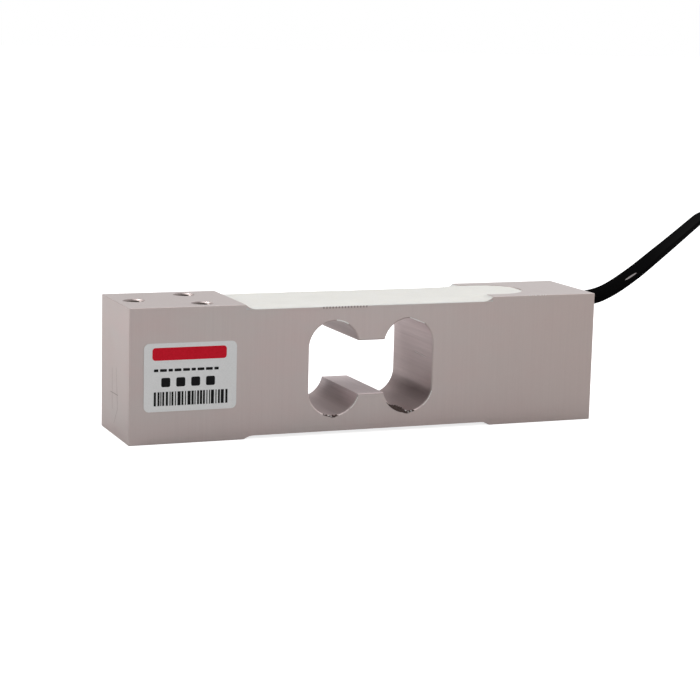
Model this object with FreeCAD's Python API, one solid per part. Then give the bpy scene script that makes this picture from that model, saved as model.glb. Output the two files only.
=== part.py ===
import FreeCAD, Part
import math
import os
from FreeCAD import Vector

# Single point load cell: a milled bar with a binocular cut-out, potted gauges and a cable.
# Frame: X along the bar towards the cable, Y across it, Z up from its underside. Millimetres.

# The bar
body_length = 150.0
body_width = 30.0
body_height = 40.0
edge_break = 0.12

# Recesses between the end pads, with the cutter's run-out at both ends
pad_length = 35.0
top_recess_depth = 1.5
bottom_recess_depth = 1.0
run_out_radius = 5.0

# Binocular cut-out: two upright round-ended slots joined by a channel
slot_radius = 8.0
slot_spacing = 24.0
slot_rise = 12.6
channel_height = 16.2
rim_break = 0.3

# Filed corner trim at the lower front rim of each slot
trim_radius = 1.9
trim_lift = 1.2
trim_reach = 4.0

# Terminal pocket in the cable end
pocket_radius = 10.3
pocket_length = 29.0
pocket_depth = 8.5
pocket_inset = 19.0

# Wire hole from the pocket to the bottom recess
wire_hole_radius = 1.5
wire_hole_inset = 3.5

# Tapped mounting holes, M6, one and a pair on each pad
thread_radius = 3.0
thread_depth = 15.0
drill_radius = 2.5
drill_depth = 18.0
drill_point_angle = 118.0
mouth_chamfer = 0.35
lone_hole_inset = 5.5
pair_inset = 23.5
pair_spacing = 18.0

# Strain gauges: film carrier and etched foil grid
carrier_length = 10.0
carrier_width = 6.4
carrier_thickness = 0.1
carrier_corner = 0.6
foil_thickness = 0.05
strand_length = 4.6
strand_width = 0.25
strand_gap = 0.25
strand_count = 8
grid_shift = 1.0
tab_length = 1.6
tab_width = 1.3
tab_gap = 0.9
tab_spacing = 2.5

# Terminal board, which lies in the pocket with a gap on every side
board_thickness = 1.0
board_start_gap = 6.5
board_end_gap = 8.5
board_side_gap = 1.8
pad_row_inset = 1.6
gauge_pad_pitch = 2.0
cable_pad_pitch = 3.0
gauge_joint_radius = 0.75
cable_joint_radius = 1.1
tab_joint_radius = 0.5

# Trim resistors on the board
resistor_length = 3.2
resistor_width = 1.6
resistor_height = 0.6
resistor_spacing = 7.0

# Fine wires from the gauges
wire_radius = 0.15
wire_lift = 0.06
wire_bend = 0.8
lower_wire_bend = 0.3
wire_drop_gap = 2.0
wire_drop_stagger = 0.25
inner_lane = 5.0
outer_lane = 7.0
lower_lane = 4.4
lower_hole_spread = 0.6
lower_rise = 1.3

# Cast sealant
top_seal_thickness = 0.6
bottom_seal_thickness = 0.7
seal_meniscus_radius = 4.0
top_seal_set_back = 0.1
bottom_seal_set_back = 4.5
seal_edge_drop = 0.15

# Label on the front face
label_width = 28.0
label_height = 20.0
label_thickness = 0.12
label_corner = 1.6
label_inset = 4.4
label_lift = 9.6

# Cable
cable_diameter = 4.9
cable_bore_gap = 0.2
cable_drop = 4.2
jacket_reach = 24.0
anchor_wall = 0.9
anchor_length = 3.0
anchor_setback = 0.6
conductor_radius = 0.55
conductor_offset = 0.85
drain_radius = 0.3
conductor_bend = 1.2
conductor_dip = 0.6

# Free cable: the route's points, then the coil of the length that is put away
free_route = [
    (83.0, 1.2, 36.1),
    (92.0, 5.3, 37.9),
    (108.0, 18.2, 41.2),
    (123.7, 35.6, 42.7),
    (139.8, 56.4, 42.6),
    (158.8, 81.5, 42.1),
    (180.4, 109.1, 42.2),
    (204.3, 138.5, 43.0),
    (224.9, 162.9, 44.2),
    (248.3, 174.3, 42.6),
    (275.3, 174.3, 38.0),
    (299.4, 162.0, 31.0),
    (314.7, 141.0, 23.0),
    (318.9, 117.4, 15.6),
    (313.1, 97.2, 9.8),
    (300.6, 84.3, 6.0),
    (284.3, 79.3, 3.8),
]
coil_centre_x = 262.7
coil_centre_y = 126.8
coil_mid_radius = 26.5
coil_columns = 3
coil_rows = 3
coil_entry_angle = -128.0
coil_stub_length = 19.0
coil_approach = 14.0
tail_start_angle = 120.0
tail_step_angle = 22.5
tail_steps = 8
tail_climb_steps = 5
tail_straight = 14.0

# Coil ties
tie_thickness = 0.8
tie_width = 3.6
tie_head_length = 4.4
tie_head_depth = 3.0
tie_head_height = 4.6
tie_angles = (145.0, -155.0)

# Far end of the cable: shrink sleeve and stripped leads
sleeve_wall = 0.4
sleeve_length = 16.0
sleeve_overlap = 8.0
lead_reach = 50.0
lead_straight = 2.0
lead_fan = 6.0
lead_falls = ((0.4, 0.12), (0.6, 0.42), (0.8, 0.78), (1.0, 1.0))
lead_floor_gap = 0.05

# How near two sizes or two directions are that count as the same
near = 0.01

half_length = body_length / 2
half_width = body_width / 2
half_recess = half_length - pad_length
slot_x = slot_spacing / 2
mid_height = body_height / 2
top_floor = body_height - top_recess_depth
bottom_floor = bottom_recess_depth
cable_radius = cable_diameter / 2
cable_height = body_height - cable_drop
cable_bore_radius = cable_radius + cable_bore_gap
pocket_tip = half_length - pocket_inset
pocket_start = pocket_tip - pocket_length
pocket_floor = body_height - pocket_depth
wire_hole_x = pocket_start + wire_hole_inset
board_start = pocket_start + board_start_gap
board_end = pocket_tip - board_end_gap
board_half_width = pocket_radius - board_side_gap
board_top = pocket_floor + board_thickness
jacket_end = half_length - jacket_reach
coil_half_width = coil_columns * cable_diameter / 2
coil_height = coil_rows * cable_diameter
outer_turn_radius = coil_mid_radius + coil_half_width - cable_radius
inner_turn_radius = coil_mid_radius - coil_half_width + cable_radius
sleeve_radius = cable_radius + sleeve_wall
tail_height = coil_height + sleeve_radius


def box(x0, x1, y0, y1, z0, z1):
    return Part.makeBox(x1 - x0, y1 - y0, z1 - z0, Vector(x0, y0, z0))


def prism_along_y(wire, y0, y1):
    face = Part.Face(wire)
    face.translate(Vector(0, y0 - face.BoundBox.YMin, 0))
    return face.extrude(Vector(0, y1 - y0, 0))


def upright_slot(x, z, rise, radius, y0, y1):
    """Round-ended slot that runs across the bar, its two round ends one above the other."""
    top = Vector(x, 0, z + rise / 2)
    low = Vector(x, 0, z - rise / 2)
    side = Vector(radius, 0, 0)
    up = Vector(0, 0, radius)
    edges = [
        Part.LineSegment(low - side, top - side).toShape(),
        Part.Arc(top - side, top + up, top + side).toShape(),
        Part.LineSegment(top + side, low + side).toShape(),
        Part.Arc(low + side, low - up, low - side).toShape(),
    ]
    return prism_along_y(Part.Wire(edges), y0, y1)


def run_out_profile(half, level, face, radius, outer):
    """Flat at level between two concave arcs that meet the face at half, closed beyond outer."""
    rise = abs(face - level)
    up = 1.0 if face > level else -1.0
    reach = math.sqrt(radius ** 2 - (radius - rise) ** 2)
    tangent = half - reach
    turn = math.atan2(reach, radius - rise) / 2
    mid_x = radius * math.sin(turn)
    mid_z = radius * (1 - math.cos(turn))
    left = [Vector(-half, 0, face), Vector(-tangent - mid_x, 0, level + up * mid_z),
            Vector(-tangent, 0, level)]
    right = [Vector(tangent, 0, level), Vector(tangent + mid_x, 0, level + up * mid_z),
             Vector(half, 0, face)]
    edges = [
        Part.Arc(*left).toShape(),
        Part.LineSegment(left[2], right[0]).toShape(),
        Part.Arc(*right).toShape(),
    ]
    corners = [right[2], Vector(half, 0, outer), Vector(-half, 0, outer), left[0]]
    for start, end in zip(corners, corners[1:]):
        edges.append(Part.LineSegment(start, end).toShape())
    return Part.Wire(edges)


def recess_cut(level, face, outer):
    return prism_along_y(run_out_profile(half_recess, level, face, run_out_radius, outer),
                         -body_width, body_width)


def binocular_cut():
    cut = upright_slot(-slot_x, mid_height, slot_rise, slot_radius, -body_width, body_width)
    cut = cut.fuse(upright_slot(slot_x, mid_height, slot_rise, slot_radius,
                                -body_width, body_width))
    channel = box(-slot_x, slot_x, -body_width, body_width,
                  mid_height - channel_height / 2, mid_height + channel_height / 2)
    return cut.fuse(channel).removeSplitter()


def pocket_prism(z0, z1):
    """Round-ended pocket along the bar, as a cutter leaves it."""
    first = Vector(pocket_start + pocket_radius, 0, z0)
    last = Vector(pocket_tip - pocket_radius, 0, z0)
    side = Vector(0, pocket_radius, 0)
    ahead = Vector(pocket_radius, 0, 0)
    edges = [
        Part.LineSegment(first - side, last - side).toShape(),
        Part.Arc(last - side, last + ahead, last + side).toShape(),
        Part.LineSegment(last + side, first + side).toShape(),
        Part.Arc(first + side, first - ahead, first - side).toShape(),
    ]
    return Part.Face(Part.Wire(edges)).extrude(Vector(0, 0, z1 - z0))


def tapped_hole(x, y, face, inward):
    """Tapped hole with its drill point and a broken mouth, cut from a face along inward."""
    along = Vector(0, 0, inward)
    mouth = Vector(x, y, face)
    hole = Part.makeCylinder(thread_radius, thread_depth, mouth, along)
    hole = hole.fuse(Part.makeCylinder(drill_radius, drill_depth, mouth, along))
    point_height = drill_radius / math.tan(math.radians(drill_point_angle / 2))
    point = Part.makeCone(drill_radius, 0, point_height, mouth + along * drill_depth, along)
    flare = Part.makeCone(thread_radius + mouth_chamfer, thread_radius, mouth_chamfer, mouth, along)
    return hole.fuse(point).fuse(flare)


def pad_holes(end, face, inward):
    """The lone hole near the end and the pair across the pad, at one end of the bar."""
    lone_x = end * (half_length - lone_hole_inset)
    pair_x = end * (half_length - pair_inset)
    holes = [tapped_hole(lone_x, 0, face, inward)]
    for side in (-1, 1):
        holes.append(tapped_hole(pair_x, side * pair_spacing / 2, face, inward))
    return holes


def trim_notch(x):
    """Small filed notch in the lower front rim of a slot."""
    slot_bottom = mid_height - slot_rise / 2 - slot_radius
    mouth = Vector(x, -half_width, slot_bottom + trim_lift)
    return Part.makeCone(trim_radius, 0, trim_reach, mouth, Vector(0, 1, 0))


def break_slot_rims(body):
    """Chamfer the cut-out's outline on the front and back faces."""
    rim = []
    slot_top = mid_height + slot_rise / 2 + slot_radius
    for edge in body.Edges:
        bounds = edge.BoundBox
        flat = bounds.YLength < near and abs(abs(bounds.Center.y) - half_width) < near
        inside = max(abs(bounds.XMin), abs(bounds.XMax)) < slot_x + slot_radius + near
        if flat and inside and bounds.ZMax < slot_top + near:
            rim.append(edge)
    return body.makeChamfer(rim_break, rim)


def spring_element():
    blank = box(-half_length, half_length, -half_width, half_width, 0, body_height)
    body = blank.makeChamfer(edge_break, blank.Edges)
    body = body.cut(recess_cut(top_floor, body_height, body_height + top_recess_depth))
    body = body.cut(recess_cut(bottom_floor, 0, -bottom_recess_depth))
    body = break_slot_rims(body.cut(binocular_cut()))
    body = body.cut(pocket_prism(pocket_floor, body_height + pocket_depth))
    bore = Part.makeCylinder(cable_bore_radius, pocket_inset + pocket_radius,
                             Vector(pocket_tip - pocket_radius, 0, cable_height),
                             Vector(1, 0, 0))
    body = body.cut(bore)
    body = body.cut(Part.makeCylinder(wire_hole_radius, body_height,
                                      Vector(wire_hole_x, 0, 0)))
    for hole in pad_holes(-1, body_height, -1) + pad_holes(1, 0, 1):
        body = body.cut(hole)
    for x in (-slot_x, slot_x):
        body = body.cut(trim_notch(x))
    return body


def run_length(a, b):
    return (b - a).Length


def bend_radius(before, corner, after, share=0.45):
    """Largest arc that takes up to this share of the shorter run beside a corner."""
    turn = (corner - before).getAngle(after - corner)
    shorter = min(run_length(before, corner), run_length(corner, after))
    return share * shorter / math.tan(turn / 2)


def rounded_path(points, bend=None):
    """Straight runs joined by tangent arcs, and the arcs' radii."""
    edges = []
    radii = []
    start = points[0]
    for before, corner, after in zip(points, points[1:], points[2:]):
        radius = bend_radius(before, corner, after)
        if bend is not None:
            radius = min(bend, radius)
        turn = (corner - before).getAngle(after - corner)
        inset = radius * math.tan(turn / 2)
        back = (before - corner).normalize()
        ahead = (after - corner).normalize()
        first = corner + back * inset
        last = corner + ahead * inset
        inward = (back + ahead).normalize()
        middle = corner + inward * (radius / math.cos(turn / 2) - radius)
        edges.append(Part.LineSegment(start, first).toShape())
        edges.append(Part.Arc(first, middle, last).toShape())
        radii.append(radius)
        start = last
    edges.append(Part.LineSegment(start, points[-1]).toShape())
    return Part.Wire(edges), radii


def tube(points, radius, bend=None):
    path, radii = rounded_path(points, bend)
    ring = Part.Wire([Part.makeCircle(radius, points[0], points[1] - points[0])])
    return path.makePipeShell([ring], True, False), path.Length, radii


def on_gauge(shape, x, side):
    """Set a shape made on a floor at z 0 on the top recess, or under the bottom one."""
    if side == "top":
        shape.translate(Vector(x, 0, top_floor))
        return shape
    shape = shape.mirror(Vector(0, 0, 0), Vector(0, 0, 1))
    shape.translate(Vector(x, 0, bottom_floor))
    return shape


def gauge_carrier(x, side):
    film = box(-carrier_length / 2, carrier_length / 2, -carrier_width / 2, carrier_width / 2,
               0, carrier_thickness)
    upright = [edge for edge in film.Edges if abs(edge.tangentAt(edge.FirstParameter).z) > 1 - near]
    return on_gauge(film.makeFillet(carrier_corner, upright), x, side)


def tab_centre_x():
    return strand_length / 2 - grid_shift + tab_gap + tab_length / 2


def gauge_grid(x, side):
    """Meander of parallel strands joined end to end, with two solder tabs."""
    pitch = strand_width + strand_gap
    low = carrier_thickness
    high = carrier_thickness + foil_thickness
    left = -strand_length / 2 - grid_shift
    right = strand_length / 2 - grid_shift
    first_y = -pitch * (strand_count - 1) / 2
    foil = None
    for i in range(strand_count):
        y = first_y + i * pitch
        strand = box(left, right, y - strand_width / 2, y + strand_width / 2, low, high)
        foil = strand if foil is None else foil.fuse(strand)
        if i < strand_count - 1:
            loop_x = left if i % 2 == 0 else right - strand_width
            foil = foil.fuse(box(loop_x, loop_x + strand_width, y, y + pitch, low, high))
    tab_x = tab_centre_x()
    for sign in (-1, 1):
        tab_y = sign * tab_spacing / 2
        end_y = sign * first_y
        foil = foil.fuse(box(tab_x - tab_length / 2, tab_x + tab_length / 2,
                             tab_y - tab_width / 2, tab_y + tab_width / 2, low, high))
        foil = foil.fuse(box(right - strand_width, tab_x, end_y - strand_width / 2,
                             end_y + strand_width / 2, low, high))
    return on_gauge(foil.removeSplitter(), x, side)


def terminal_board():
    return box(board_start, board_end, -board_half_width, board_half_width,
               pocket_floor, board_top)


def joint_points():
    """Where each wire or conductor is soldered on the board, by its name."""
    points = {}
    gauge_x = board_start + pad_row_inset
    cable_x = board_end - pad_row_inset
    for i, lane in enumerate(("lower_near", "lower_far", "upper_near", "upper_far")):
        for sign in (-1, 1):
            y = sign * (i + 0.5) * gauge_pad_pitch
            points[lane, sign] = Vector(gauge_x, y, board_top)
    for i, name in enumerate(("red", "black", "drain", "green", "white")):
        points[name] = Vector(cable_x, (i - 2) * cable_pad_pitch, board_top)
    return points


def upper_wires():
    """Two wires from each top gauge, along the recess and down into the pocket."""
    level = top_floor + carrier_thickness + foil_thickness + wire_lift + wire_radius
    drop_x = pocket_start + wire_drop_gap
    wires = []
    for lane, x, lane_y in (("upper_near", slot_x, inner_lane), ("upper_far", -slot_x, outer_lane)):
        tab_x = x + tab_centre_x()
        for sign in (-1, 1):
            end = joint_points()[lane, sign]
            points = [
                Vector(tab_x, sign * tab_spacing / 2, level),
                Vector(tab_x + lane_y, sign * lane_y, level),
                Vector(drop_x + lane_y * wire_drop_stagger, sign * lane_y, level),
                end + Vector(0, 0, wire_radius + wire_lift),
            ]
            wires.append(tube(points, wire_radius, wire_bend)[0])
    return Part.makeCompound(wires)


def lower_wires():
    """Two wires from each bottom gauge, through the wire hole and over the board's edge."""
    level = bottom_floor - carrier_thickness - foil_thickness - wire_lift - wire_radius
    crest = board_top + lower_rise
    wires = []
    for lane, x, lane_y, ahead in (("lower_near", slot_x, tab_spacing / 2, -lower_hole_spread),
                                   ("lower_far", -slot_x, lower_lane, lower_hole_spread)):
        tab_x = x + tab_centre_x()
        hole_x = wire_hole_x + ahead
        hole_y = wire_hole_radius / 2
        for sign in (-1, 1):
            end = joint_points()[lane, sign]
            points = [Vector(tab_x, sign * tab_spacing / 2, level)]
            if lane_y > tab_spacing / 2:
                points.append(Vector(tab_x + lane_y, sign * lane_y, level))
                points.append(Vector(slot_x + carrier_length, sign * lane_y, level))
            points.append(Vector(hole_x, sign * hole_y, level))
            points.append(Vector(hole_x, sign * hole_y, crest + ahead))
            points.append(end + Vector(0, 0, wire_radius + wire_lift))
            wires.append(tube(points, wire_radius, lower_wire_bend)[0])
    return Part.makeCompound(wires)


def dome(centre, radius, up=1):
    ball = Part.makeSphere(radius, centre)
    half = box(centre.x - radius, centre.x + radius, centre.y - radius, centre.y + radius,
               min(centre.z, centre.z + up * radius), max(centre.z, centre.z + up * radius))
    return ball.common(half)


def solder_joints(wires):
    """Domes of solder over every wire end, on the board and on the gauges' tabs."""
    joints = []
    for name, centre in joint_points().items():
        radius = gauge_joint_radius if isinstance(name, tuple) else cable_joint_radius
        joints.append(dome(centre, radius))
    stack = carrier_thickness + foil_thickness
    for x in (-slot_x, slot_x):
        for sign in (-1, 1):
            y = sign * tab_spacing / 2
            joints.append(dome(Vector(x + tab_centre_x(), y, top_floor + stack),
                               tab_joint_radius))
            joints.append(dome(Vector(x + tab_centre_x(), y, bottom_floor - stack),
                               tab_joint_radius, -1))
    return Part.makeCompound([joint.cut(wires) for joint in joints])


def trim_resistors():
    x = (board_start + board_end) / 2
    chips = []
    for sign in (-1, 1):
        y = sign * resistor_spacing / 2
        chips.append(box(x - resistor_length / 2, x + resistor_length / 2,
                         y - resistor_width / 2, y + resistor_width / 2,
                         board_top, board_top + resistor_height))
    return Part.makeCompound(chips)


def cable_conductors():
    """The four inner conductors and the drain wire, from the jacket's end to the board."""
    wires = {}
    start = Vector(jacket_end, 0, cable_height)
    corners = {"red": (-1, -1), "black": (-1, 1), "green": (1, -1), "white": (1, 1)}
    for name, (y_sign, z_sign) in corners.items():
        offset = Vector(0, y_sign * conductor_offset, z_sign * conductor_offset)
        end = joint_points()[name] + Vector(0, 0, conductor_radius + wire_lift)
        first = start + offset
        second = first - Vector(conductor_bend, 0, 0)
        above = Vector(end.x + conductor_bend, end.y, end.z + (first.z - end.z) * conductor_dip)
        wires[name] = tube([first, second, above, end], conductor_radius, conductor_bend)[0]
    end = joint_points()["drain"] + Vector(0, 0, drain_radius + wire_lift)
    middle = start - Vector(conductor_bend, 0, 0)
    wires["drain"] = tube([start, middle, end], drain_radius, conductor_bend)[0]
    return wires


def cable_tail():
    return Part.makeCylinder(cable_radius, jacket_reach, Vector(jacket_end, 0, cable_height),
                             Vector(1, 0, 0))


def cable_anchor():
    """Ring crimped on the jacket inside the pocket, so that the cable can't be pulled out."""
    start = Vector(jacket_end + anchor_setback, 0, cable_height)
    ring = Part.makeCylinder(cable_radius + anchor_wall, anchor_length, start, Vector(1, 0, 0))
    return ring.cut(Part.makeCylinder(cable_radius, anchor_length, start, Vector(1, 0, 0)))


def cast_layer(level, face, outer, set_back):
    """Sealant on a recess floor and its run-outs, filled right up to outer."""
    return prism_along_y(run_out_profile(half_recess, level, face, run_out_radius, outer),
                         -half_width + set_back, half_width - set_back)


def air_over(surface, face, outer):
    """Space over cast sealant, which is drawn up the run-outs almost to the pads' faces."""
    hollow = prism_along_y(run_out_profile(half_recess, surface, face, seal_meniscus_radius,
                                           outer), -body_width, body_width)
    rim = face - seal_edge_drop if face > surface else face + seal_edge_drop
    above = box(-half_length, half_length, -body_width, body_width, min(rim, outer),
                max(rim, outer))
    return hollow.fuse(above)


def top_sealant(covered):
    """White rubber over the top gauges, in the pocket and round the cable in its bore."""
    outer = body_height + top_recess_depth
    layer = cast_layer(top_floor, body_height, outer, top_seal_set_back)
    plug = pocket_prism(pocket_floor, outer)
    bore = Part.makeCylinder(cable_bore_radius, pocket_inset + pocket_radius,
                             Vector(pocket_tip - pocket_radius, 0, cable_height),
                             Vector(1, 0, 0))
    hole = Part.makeCylinder(wire_hole_radius, pocket_floor - bottom_floor,
                             Vector(wire_hole_x, 0, bottom_floor))
    cast = layer.fuse(plug).cut(air_over(top_floor + top_seal_thickness, body_height, outer))
    return cast.fuse(bore).fuse(hole).cut(covered)


def bottom_sealant(covered):
    outer = -bottom_recess_depth
    air = air_over(bottom_floor - bottom_seal_thickness, 0, outer)
    layer = cast_layer(bottom_floor, 0, outer, bottom_seal_set_back)
    return layer.cut(air).cut(covered)


def label():
    left = -half_length + label_inset
    plate = box(left, left + label_width, -half_width - label_thickness, -half_width,
                label_lift, label_lift + label_height)
    across = [edge for edge in plate.Edges
              if abs(edge.tangentAt(edge.FirstParameter).y) > 1 - near]
    return plate.makeFillet(label_corner, across)


def polar(angle, radius, height):
    turn = math.radians(angle)
    return Vector(coil_centre_x + radius * math.cos(turn),
                  coil_centre_y + radius * math.sin(turn), height)


def heading(angle):
    """Direction of a clockwise turn of the coil at this angle."""
    turn = math.radians(angle)
    return Vector(math.sin(turn), -math.cos(turn), 0)


def coil_entry():
    height = cable_radius
    touch = polar(coil_entry_angle, outer_turn_radius, height)
    return touch - heading(coil_entry_angle) * coil_stub_length, touch


def route_points():
    exit_point = Vector(half_length, 0, cable_height)
    entry = coil_entry()[0]
    approach = entry - heading(coil_entry_angle) * coil_approach
    return [exit_point] + [Vector(*point) for point in free_route] + [approach, entry]


def cable_run(points):
    """The free stretch of cable, cut square where it leaves the bar's end."""
    back = (points[0] - points[1]).normalize() * cable_radius
    run, length, radii = tube([points[0] + back] + points[1:], cable_radius)
    print("cable run: length %.1f, volume %.1f, section x length %.1f"
          % (length, run.Volume, math.pi * cable_radius ** 2 * length))
    print("cable run radii:", ", ".join("%.1f" % radius for radius in radii))
    inside = box(0, half_length, -half_width, half_width, 0, body_height)
    return run.cut(inside)


def tail_points():
    """The cord's last stretch: up from the inner top turn and round on top of the coil."""
    points = []
    low = coil_height - cable_radius
    for step in range(tail_steps + 1):
        share = min(step / tail_climb_steps, 1.0)
        ease = share * share * (3 - 2 * share)
        radius = inner_turn_radius + (coil_mid_radius - inner_turn_radius) * ease
        points.append(polar(tail_start_angle - step * tail_step_angle, radius,
                            low + (tail_height - low) * ease))
    last = tail_start_angle - tail_steps * tail_step_angle
    points.append(points[-1] + heading(last) * tail_straight)
    return points


def coil_section(grow, z0, z1, radius):
    """Half section of the winding, a rounded rectangle to be turned about the coil's axis."""
    inner = coil_centre_x + coil_mid_radius - coil_half_width - grow
    outer = coil_centre_x + coil_mid_radius + coil_half_width + grow
    y = coil_centre_y
    k = radius * (1 - math.sqrt(0.5))
    edges = [
        Part.LineSegment(Vector(inner + radius, y, z0), Vector(outer - radius, y, z0)).toShape(),
        Part.Arc(Vector(outer - radius, y, z0), Vector(outer - k, y, z0 + k),
                 Vector(outer, y, z0 + radius)).toShape(),
        Part.LineSegment(Vector(outer, y, z0 + radius), Vector(outer, y, z1 - radius)).toShape(),
        Part.Arc(Vector(outer, y, z1 - radius), Vector(outer - k, y, z1 - k),
                 Vector(outer - radius, y, z1)).toShape(),
        Part.LineSegment(Vector(outer - radius, y, z1), Vector(inner + radius, y, z1)).toShape(),
        Part.Arc(Vector(inner + radius, y, z1), Vector(inner + k, y, z1 - k),
                 Vector(inner, y, z1 - radius)).toShape(),
        Part.LineSegment(Vector(inner, y, z1 - radius), Vector(inner, y, z0 + radius)).toShape(),
        Part.Arc(Vector(inner, y, z0 + radius), Vector(inner + k, y, z0 + k),
                 Vector(inner + radius, y, z0)).toShape(),
    ]
    return Part.Face(Part.Wire(edges))


def coil_axis():
    return Vector(coil_centre_x, coil_centre_y, 0)


def winding():
    section = coil_section(0, 0, coil_height, cable_radius)
    return section.revolve(coil_axis(), Vector(0, 0, 1), 360)


def cable_coil():
    start, touch = coil_entry()
    stub = Part.makeCylinder(cable_radius, run_length(start, touch), start, touch - start)
    tail, length, radii = tube(tail_points(), cable_radius)
    print("coil tail radii:", ", ".join("%.1f" % radius for radius in radii))
    coil = winding().fuse(stub).fuse(tail)
    for angle in tie_angles:
        coil = coil.cut(tie_band(angle))
    return coil


def tie_band(angle):
    """Closed strap round the winding, which is pinched a little under it."""
    sweep = math.degrees(tie_width / coil_mid_radius)
    outer = coil_section(tie_thickness, 0, coil_height + tie_thickness,
                         cable_radius + tie_thickness)
    inner = coil_section(0, tie_thickness, coil_height, cable_radius)
    band = outer.cut(inner).revolve(coil_axis(), Vector(0, 0, 1), sweep)
    band.rotate(coil_axis(), Vector(0, 0, 1), angle - sweep / 2)
    return band


def coil_tie(angle):
    """Cable tie closed round the winding, with its head on the outside."""
    reach = coil_mid_radius + coil_half_width + tie_thickness / 2
    middle = coil_height / 2
    head = box(coil_centre_x + reach, coil_centre_x + reach + tie_head_depth,
               coil_centre_y - tie_head_length / 2, coil_centre_y + tie_head_length / 2,
               middle - tie_head_height / 2, middle + tie_head_height / 2)
    head.rotate(coil_axis(), Vector(0, 0, 1), angle)
    return tie_band(angle).fuse(head)


def end_frame():
    """The cord's end point, its direction and the way out from the coil's axis."""
    points = tail_points()
    along = (points[-1] - points[-2]).normalize()
    return points[-1], along, Vector(along.y, -along.x, 0)


def end_sleeve():
    end, along, out = end_frame()
    start = end - along * sleeve_overlap
    sleeve = Part.makeCylinder(sleeve_radius, sleeve_length, start, along)
    return sleeve.cut(Part.makeCylinder(cable_radius, sleeve_length, start, along))


def end_leads():
    """Four stripped leads and the screen's drain, fanned out past the sleeve to the floor."""
    end, along, out = end_frame()
    up = Vector(0, 0, 1)
    leads = {}
    places = {"red": (-1, -1, -2.0), "black": (-1, 1, -1.0), "green": (1, -1, 1.0),
              "white": (1, 1, 2.0), "drain": (0, 0, 0.0)}
    clear = sleeve_length - sleeve_overlap
    for name, (side, rise, fan) in places.items():
        radius = drain_radius if name == "drain" else conductor_radius
        first = end + out * (side * conductor_offset) + up * (rise * conductor_offset)
        drop = first.z - radius - lead_floor_gap
        points = [first, first + along * (clear + lead_straight)]
        for share, fall in lead_falls:
            spread = out * (fan * lead_fan * share ** 2)
            points.append(first + along * (lead_reach * share) + spread - up * (drop * fall))
        leads[name] = tube(points, radius)[0]
    return leads


def build():
    parts = {}
    parts["spring_element"] = spring_element()
    places = {"left": -slot_x, "right": slot_x}
    for side in ("top", "bottom"):
        for end, x in places.items():
            parts["gauge_carrier_" + side + "_" + end] = gauge_carrier(x, side)
            parts["gauge_grid_" + side + "_" + end] = gauge_grid(x, side)
    parts["terminal_board"] = terminal_board()
    parts["trim_resistors"] = trim_resistors()
    parts["gauge_wires_top"] = upper_wires()
    parts["gauge_wires_bottom"] = lower_wires()
    for name, shape in cable_conductors().items():
        parts["conductor_" + name] = shape
    wires = [shape for name, shape in parts.items() if "wires" in name or "conductor" in name]
    parts["solder_joints"] = solder_joints(wires)
    parts["cable_tail"] = cable_tail()
    parts["cable_anchor"] = cable_anchor()
    covered = [shape for name, shape in parts.items() if name != "spring_element"]
    parts["top_sealant"] = top_sealant(covered)
    parts["bottom_sealant"] = bottom_sealant(covered)
    parts["label"] = label()
    parts["cable_run"] = cable_run(route_points())
    parts["cable_coil"] = cable_coil()
    for i, angle in enumerate(tie_angles):
        parts["coil_tie_%d" % (i + 1)] = coil_tie(angle)
    parts["end_sleeve"] = end_sleeve()
    for name, shape in end_leads().items():
        parts["lead_" + name] = shape
    return parts


os.makedirs("parts", exist_ok=True)
for node, solid in build().items():
    print("%-28s valid %s solids %2d volume %10.2f z %.2f"
          % (node, solid.isValid(), len(solid.Solids), solid.Volume, solid.BoundBox.ZMin))
    solid.exportStep("parts/" + node + ".step")
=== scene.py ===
import math
import bpy
import numpy as np
from mathutils import Matrix, Vector


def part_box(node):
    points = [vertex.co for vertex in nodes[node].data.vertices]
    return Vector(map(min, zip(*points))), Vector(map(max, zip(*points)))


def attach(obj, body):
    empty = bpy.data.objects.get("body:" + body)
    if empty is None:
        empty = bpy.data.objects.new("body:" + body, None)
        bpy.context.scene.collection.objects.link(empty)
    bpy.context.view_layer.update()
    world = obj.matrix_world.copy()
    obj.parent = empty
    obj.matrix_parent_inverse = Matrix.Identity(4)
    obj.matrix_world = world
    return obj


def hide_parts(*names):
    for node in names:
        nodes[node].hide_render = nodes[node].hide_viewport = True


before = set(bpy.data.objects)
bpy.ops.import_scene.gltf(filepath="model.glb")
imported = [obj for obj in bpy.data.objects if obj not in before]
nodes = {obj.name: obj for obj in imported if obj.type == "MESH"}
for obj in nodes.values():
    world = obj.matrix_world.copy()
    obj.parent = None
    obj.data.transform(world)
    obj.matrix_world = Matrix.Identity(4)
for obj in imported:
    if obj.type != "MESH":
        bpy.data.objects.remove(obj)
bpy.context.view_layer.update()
mm = 0.001


def cornersOf(name):
    # Low and high corner of a CAD node's box, in millimetres
    return np.round(np.array(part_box(name)) / mm, 3)


# The bar's faces, and its mounting holes' places from its middle, in millimetres
low, high = cornersOf("spring_element")
bar = {"left": low[0], "front": low[1], "foot": low[2], "right": high[0], "top": high[2]}
holes = {"lone": 69.5, "pair": 51.5, "apart": 18.0}

# Camera, from the photograph's vanishing lines and the bar's corners
camera = {
    "place": (-0.225446, -0.550480, 0.123155),
    "azimuth": -22.190,
    "elevation": 9.601,
    "roll": 1.449,
    "lens": 101.25,
    "sensor": 36.0,
}


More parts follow.
